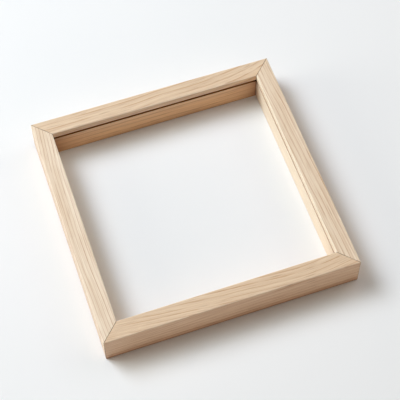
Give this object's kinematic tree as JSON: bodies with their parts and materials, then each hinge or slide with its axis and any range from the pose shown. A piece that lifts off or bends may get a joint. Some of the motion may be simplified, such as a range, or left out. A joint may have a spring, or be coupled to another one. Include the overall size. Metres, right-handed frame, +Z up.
{
  "type": "screen printing frame",
  "caption": "Bare square wooden screen printing frame of mitred rails, with a saw groove round the inside of the opening, held by hidden dowels and V-nails.",
  "frame": {"origin": "middle of the frame's underside", "axes": "+Z up out of the opening, +X towards the right rail, +Y towards the back rail"},
  "size_m": [0.285, 0.285, 0.04],
  "materials": {
    "rail_wood": "planed and lightly sanded, unvarnished",
    "dowel_wood": "fluted beech, unfinished",
    "nail_steel": "plain hardened strip"
  },
  "bodies": {
    "root": {"rail_back": "rail_wood", "rail_right": "rail_wood", "rail_front": "rail_wood", "rail_left": "rail_wood", "dowel_back_left_upper": "dowel_wood", "dowel_back_left_lower": "dowel_wood", "dowel_back_right_upper": "dowel_wood", "dowel_back_right_lower": "dowel_wood", "dowel_front_right_upper": "dowel_wood", "dowel_front_right_lower": "dowel_wood", "dowel_front_left_upper": "dowel_wood", "dowel_front_left_lower": "dowel_wood", "v_nail_back_left_outer": "nail_steel", "v_nail_back_left_inner": "nail_steel", "v_nail_back_right_outer": "nail_steel", "v_nail_back_right_inner": "nail_steel", "v_nail_front_right_outer": "nail_steel", "v_nail_front_right_inner": "nail_steel", "v_nail_front_left_outer": "nail_steel", "v_nail_front_left_inner": "nail_steel"}
  },
  "joints": []
}
